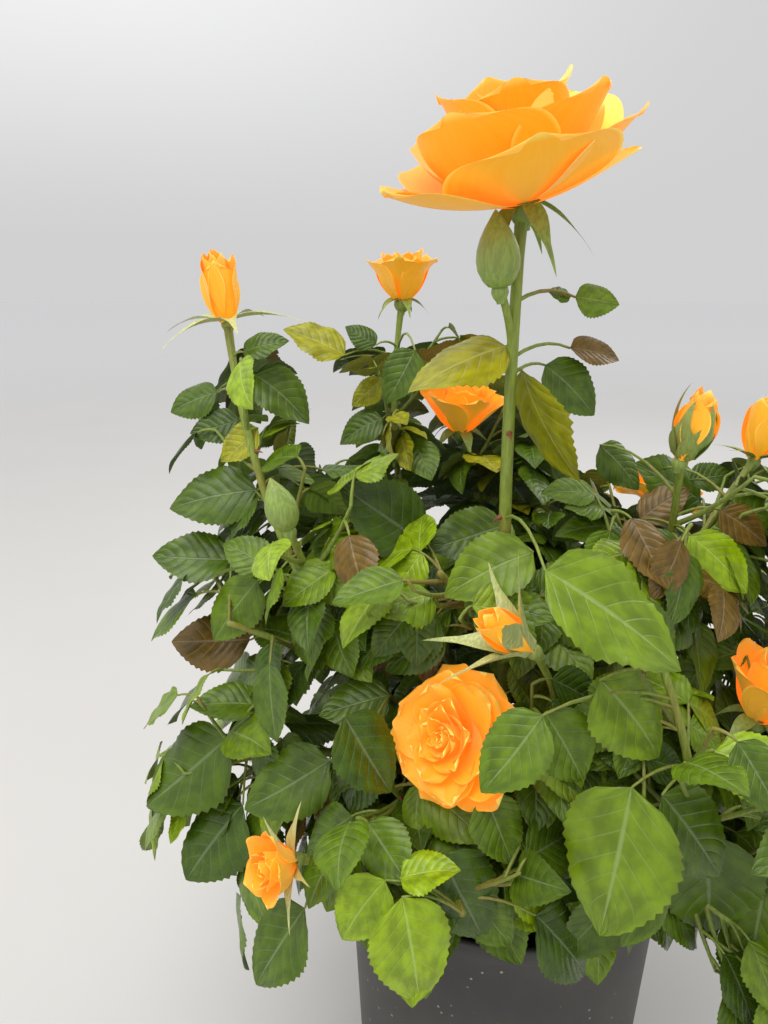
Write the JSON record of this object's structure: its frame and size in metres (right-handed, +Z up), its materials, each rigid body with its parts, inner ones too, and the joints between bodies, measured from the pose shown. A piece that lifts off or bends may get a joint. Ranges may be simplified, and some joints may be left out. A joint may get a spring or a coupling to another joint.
{
  "type": "potted rose bush",
  "caption": "Garden rose bush with double apricot blooms and buds on green canes, rooted in a plain round nursery pot.",
  "frame": {"origin": "centre of the pot's flat underside, which stands on the ground", "axes": "+Z up along the pot's axis, -Y towards the viewer of the picture, +X to the viewer's right"},
  "size_m": [0.5286, 0.4758, 0.6723],
  "materials": {
    "pot": "thin-walled dark grey-brown nursery plastic, matte, dusted with pale specks",
    "compost": "dark bark-rich potting compost, rough",
    "bark": "grey-brown cork-like bark of the old stem and graft union",
    "green_wood": "smooth green young canes with reddish thorns",
    "foliage": "glossy compound leaves, apricot petals, green buds and sepals"
  },
  "bodies": {
    "root": {"pot": "pot", "compost": "compost", "trunk": "bark", "cane_tall": "green_wood", "cane_left": "green_wood", "cane_back_left": "green_wood", "cane_back_right": "green_wood", "cane_right": "green_wood", "cane_front": "green_wood", "cane_front_left": "green_wood", "bough_back": "green_wood", "bough_left_low": "green_wood", "bough_back_low": "green_wood", "bough_right_back": "green_wood", "bough_right_low": "green_wood", "bough_front_right": "green_wood", "shoot_tall_bloom": "foliage", "shoot_top": "foliage", "shoot_left_bud": "foliage", "shoot_left_green_bud": "foliage", "shoot_left_side": "foliage", "shoot_cup_bloom": "foliage", "shoot_back_left": "foliage", "shoot_back_bloom": "foliage", "shoot_back_side": "foliage", "shoot_back_right_bloom": "foliage", "shoot_back_right_side": "foliage", "shoot_right_bud": "foliage", "shoot_right_edge_bud": "foliage", "shoot_right_bloom": "foliage", "shoot_right_low": "foliage", "shoot_right_back": "foliage", "shoot_back_right_low": "foliage", "shoot_front_blooms": "foliage", "shoot_front_right": "foliage", "shoot_front_right_low": "foliage", "shoot_front_left_bud": "foliage", "shoot_front_left": "foliage", "shoot_front_low": "foliage", "shoot_left_low": "foliage", "shoot_back_low": "foliage"}
  },
  "joints": []
}
